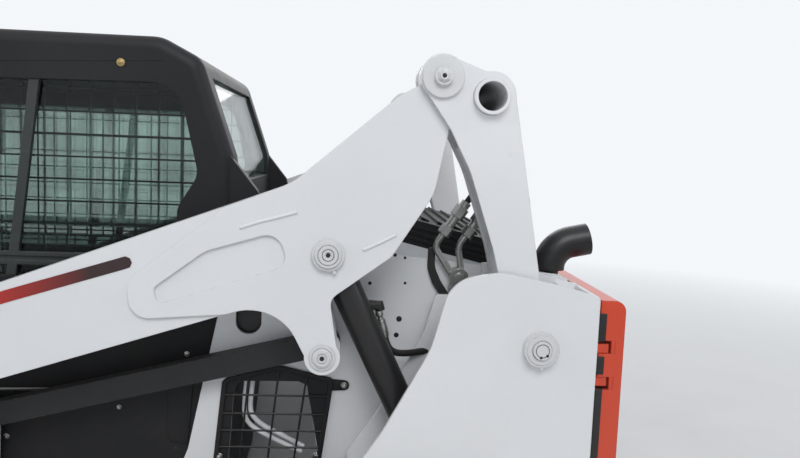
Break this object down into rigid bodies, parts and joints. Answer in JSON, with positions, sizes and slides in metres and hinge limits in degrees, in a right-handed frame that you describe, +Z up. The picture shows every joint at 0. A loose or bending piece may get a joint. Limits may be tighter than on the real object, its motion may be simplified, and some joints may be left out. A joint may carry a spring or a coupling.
{
  "type": "skid steer loader",
  "caption": "Compact wheeled loader with a vertical-lift arm linkage, caged cab, rear engine bay and a general-purpose bucket that lifts and tilts.",
  "frame": {"origin": "on the ground, midway between the tail and the bucket's cutting edge, on the machine's middle plane", "axes": "+X forward to the bucket, +Y to the machine's left, +Z up"},
  "size_m": [3.516, 1.88, 2.015],
  "materials": {
    "white_paint": "gloss paint, slightly dusty",
    "charcoal_paint": "satin charcoal",
    "cylinder_black": "satin black",
    "chrome_rod": "polished",
    "orange_paint": "gloss orange",
    "bucket_paint": "satin, worn inside",
    "edge_steel": "worn bare steel",
    "engine_iron": "cast, painted grey",
    "clear_glass": "clear, slight green tint",
    "seat_vinyl": "black vinyl",
    "black_plastic": "grained black",
    "lamp_lens": "clear lens over reflector",
    "zinc_steel": "zinc plated, dulled",
    "hose_rubber": "black hose cover",
    "tyre_rubber": "dusty rubber",
    "rim_paint": "gloss paint"
  },
  "bodies": {
    "chassis": {"main_frame": "white_paint", "tower_left": "white_paint", "tower_right": "white_paint", "chassis_pins": "white_paint", "rear_bumper": "charcoal_paint", "engine_block": "engine_iron", "rear_cover": "white_paint", "exhaust_pipe": "cylinder_black", "axle_housings": "charcoal_paint", "cab_shell": "charcoal_paint", "cab_glass": "clear_glass", "seat": "seat_vinyl", "seat_bar_pivots": "chrome_rod", "control_levers": "black_plastic", "door_hinges": "charcoal_paint", "work_lamps": "lamp_lens", "side_screens": "charcoal_paint", "tailgate_hinges": "white_paint", "window_frames": "charcoal_paint", "window_screens": "charcoal_paint", "hydraulic_tubes": "zinc_steel", "hydraulic_hoses": "hose_rubber"},
    "rear_links": {"rear_link_left": "white_paint", "rear_link_right": "white_paint", "link_cross_tube": "white_paint", "link_pins": "white_paint"},
    "lift_arms": {"lift_arm_left": "white_paint", "lift_arm_right": "white_paint", "arm_cross_tube": "white_paint"},
    "control_links": {"control_links": "charcoal_paint"},
    "lift_barrels": {"lift_barrels": "cylinder_black"},
    "lift_rods": {"lift_rods": "chrome_rod"},
    "tilt_barrels": {"tilt_barrels": "cylinder_black"},
    "tilt_rods": {"tilt_rods": "chrome_rod"},
    "bucket": {"bucket_carrier": "charcoal_paint", "bucket_shell": "bucket_paint", "cutting_edge": "edge_steel"},
    "tailgate": {"tailgate_shell": "orange_paint", "tailgate_grille": "charcoal_paint", "tail_lamps": "lamp_lens"},
    "cab_door": {"door_frame": "charcoal_paint", "door_glass": "clear_glass"},
    "seat_bar": {"seat_bar": "black_plastic"},
    "hood": {"engine_hood": "charcoal_paint"},
    "rear_left_wheel": {"tyre_rear_left": "tyre_rubber", "rim_rear_left": "rim_paint"},
    "rear_right_wheel": {"tyre_rear_right": "tyre_rubber", "rim_rear_right": "rim_paint"},
    "front_left_wheel": {"tyre_front_left": "tyre_rubber", "rim_front_left": "rim_paint"},
    "front_right_wheel": {"tyre_front_right": "tyre_rubber", "rim_front_right": "rim_paint"}
  },
  "joints": [
    {"name": "rear_link_swing", "type": "hinge", "parent": "chassis", "child": "rear_links", "pos_m": [-1.525, 0, 1.233], "axis": [0, -1, 0], "range_deg": [-7.4, 0]},
    {"name": "lift", "type": "hinge", "parent": "rear_links", "child": "lift_arms", "pos_m": [-1.25, 0, 1.902], "axis": [0, -1, 0], "range_deg": [0, 75.02]},
    {"name": "control_link_swing", "type": "hinge", "parent": "chassis", "child": "control_links", "pos_m": [-0.048, 0, 0.96], "axis": [0, -1, 0], "range_deg": [-54.9, 0]},
    {"name": "lift_barrel_swing", "type": "hinge", "parent": "chassis", "child": "lift_barrels", "pos_m": [-1.347, 0, 0.71], "axis": [0, -1, 0], "range_deg": [-3.5, 0]},
    {"name": "lift_rod_slide", "type": "slide", "parent": "lift_barrels", "child": "lift_rods", "axis": [0.4419, 0, 0.8971], "range_m": [0, 0.589]},
    {"name": "bucket_tilt", "type": "hinge", "parent": "lift_arms", "child": "bucket", "pos_m": [0.842, 0, 0.2], "axis": [0, -1, 0], "range_deg": [-109.5, 25]},
    {"name": "tilt_barrel_swing", "type": "hinge", "parent": "lift_arms", "child": "tilt_barrels", "pos_m": [0.663, 0, 0.92], "axis": [0, -1, 0], "range_deg": [-3.6, 0.9]},
    {"name": "tilt_rod_slide", "type": "slide", "parent": "tilt_barrels", "child": "tilt_rods", "axis": [0.4141, 0, -0.9103], "range_m": [-0.071, 0.308]},
    {"name": "tailgate_swing", "type": "hinge", "parent": "chassis", "child": "tailgate", "pos_m": [-1.707, 0.706, 0.9], "axis": [0, 0, -1], "range_deg": [0, 100]},
    {"name": "door_swing", "type": "hinge", "parent": "chassis", "child": "cab_door", "pos_m": [0.56295, 0.458, 0.62146], "axis": [-0.0731, 0, 0.9973], "range_deg": [0, 95]},
    {"name": "seat_bar_lift", "type": "hinge", "parent": "chassis", "child": "seat_bar", "pos_m": [-0.537, 0, 1.15], "axis": [0, -1, 0], "range_deg": [0, 80]},
    {"name": "hood_lift", "type": "hinge", "parent": "chassis", "child": "hood", "pos_m": [-1.117, 0, 1.482], "axis": [0, 1, 0], "range_deg": [0, 45]},
    {"name": "rear_left_wheel_spin", "type": "hinge", "parent": "chassis", "child": "rear_left_wheel", "pos_m": [-0.957, 0, 0.419], "axis": [0, 1, 0], "continuous": true},
    {"name": "rear_right_wheel_spin", "type": "hinge", "parent": "chassis", "child": "rear_right_wheel", "pos_m": [-0.957, 0, 0.419], "axis": [0, 1, 0], "continuous": true},
    {"name": "front_left_wheel_spin", "type": "hinge", "parent": "chassis", "child": "front_left_wheel", "pos_m": [0.241, 0, 0.419], "axis": [0, 1, 0], "continuous": true},
    {"name": "front_right_wheel_spin", "type": "hinge", "parent": "chassis", "child": "front_right_wheel", "pos_m": [0.241, 0, 0.419], "axis": [0, 1, 0], "continuous": true}
  ],
  "couplings": [
    {"joint": "rear_link_swing", "follows": "lift", "ratio": -0.096914},
    {"joint": "control_link_swing", "follows": "lift", "ratio": -0.72917},
    {"joint": "lift_barrel_swing", "follows": "lift", "ratio": -0.045064},
    {"joint": "lift_rod_slide", "follows": "lift", "m_per_rad": 0.44878},
    {"joint": "tilt_barrel_swing", "follows": "bucket_tilt", "ratio": 0.031878},
    {"joint": "tilt_rod_slide", "follows": "bucket_tilt", "m_per_rad": -0.16035}
  ]
}
